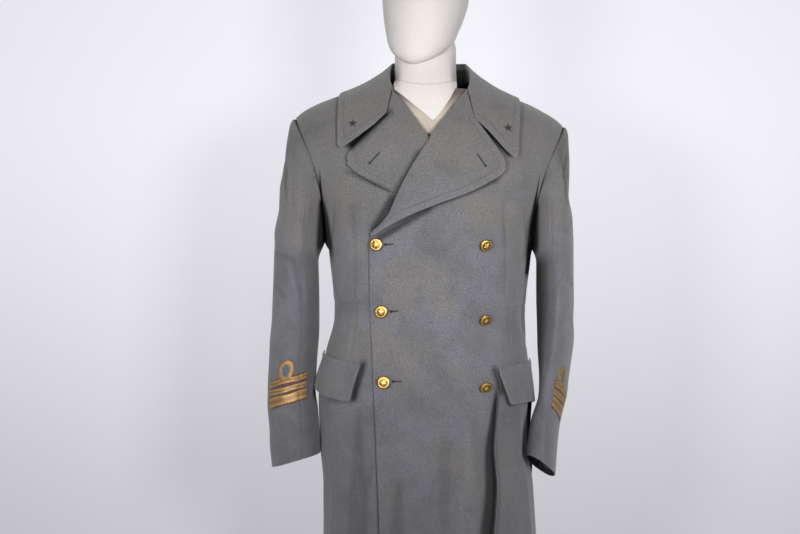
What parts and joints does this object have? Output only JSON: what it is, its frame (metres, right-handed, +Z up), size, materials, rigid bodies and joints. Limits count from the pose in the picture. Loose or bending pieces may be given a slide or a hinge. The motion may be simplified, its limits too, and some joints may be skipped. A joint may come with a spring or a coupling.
{
  "type": "military overcoat on a dress form",
  "caption": "Long double-breasted wool overcoat with folded lapels, gilt buttons, pocket flaps and cuff lace, on a limbless display form with a round base.",
  "frame": {"origin": "middle of the underside of the stand's round base", "axes": "+Z up, the coat's front faces -Y, the wearer's right side is towards -X"},
  "size_m": [0.5493, 0.38, 1.801],
  "materials": {
    "wool": "felted mid-grey overcoat wool with a bluish mottle and a short nap",
    "lining_black": "black lining twill with a soft sheen",
    "gilt": "gilt brass, lightly worn and darkened in the recesses",
    "lace_gold": "gold wire lace with a fine rib, tarnished to orange gold",
    "lace_ground": "worn brown-purple felt",
    "star_thread": "dark blackened metal thread embroidery",
    "form_linen": "plain beige linen cover",
    "form_cover": "stretched cream-white jersey cover",
    "stand_steel": "satin brushed steel"
  },
  "bodies": {
    "root": {"front_right": "wool", "front_left": "wool", "back_right": "wool", "back_left": "wool", "lapel_left": "wool", "lapel_right": "wool", "collar_fall": "wool", "collar_stand": "wool", "neck_lining": "lining_black", "pocket_flap_right": "wool", "pocket_flap_left": "wool", "form_torso": "form_linen", "form_neck": "form_cover", "form_head": "form_cover", "stand_base": "stand_steel", "stand_pole": "stand_steel", "sleeve_upper_right": "wool", "sleeve_under_right": "wool", "cuff_lining_right": "lining_black", "collar_star_right": "star_thread", "button_right_top": "gilt", "button_right_middle": "gilt", "button_right_bottom": "gilt", "lace_ground_right": "lace_ground", "lace_loop_fill_right": "lace_ground", "lace_top_right": "lace_gold", "lace_middle_right": "lace_gold", "lace_broad_right": "lace_gold", "lace_loop_right": "lace_gold", "sleeve_upper_left": "wool", "sleeve_under_left": "wool", "cuff_lining_left": "lining_black", "collar_star_left": "star_thread", "button_left_top": "gilt", "button_left_middle": "gilt", "button_left_bottom": "gilt", "lace_ground_left": "lace_ground", "lace_loop_fill_left": "lace_ground", "lace_top_left": "lace_gold", "lace_middle_left": "lace_gold", "lace_broad_left": "lace_gold", "lace_loop_left": "lace_gold"}
  },
  "joints": []
}
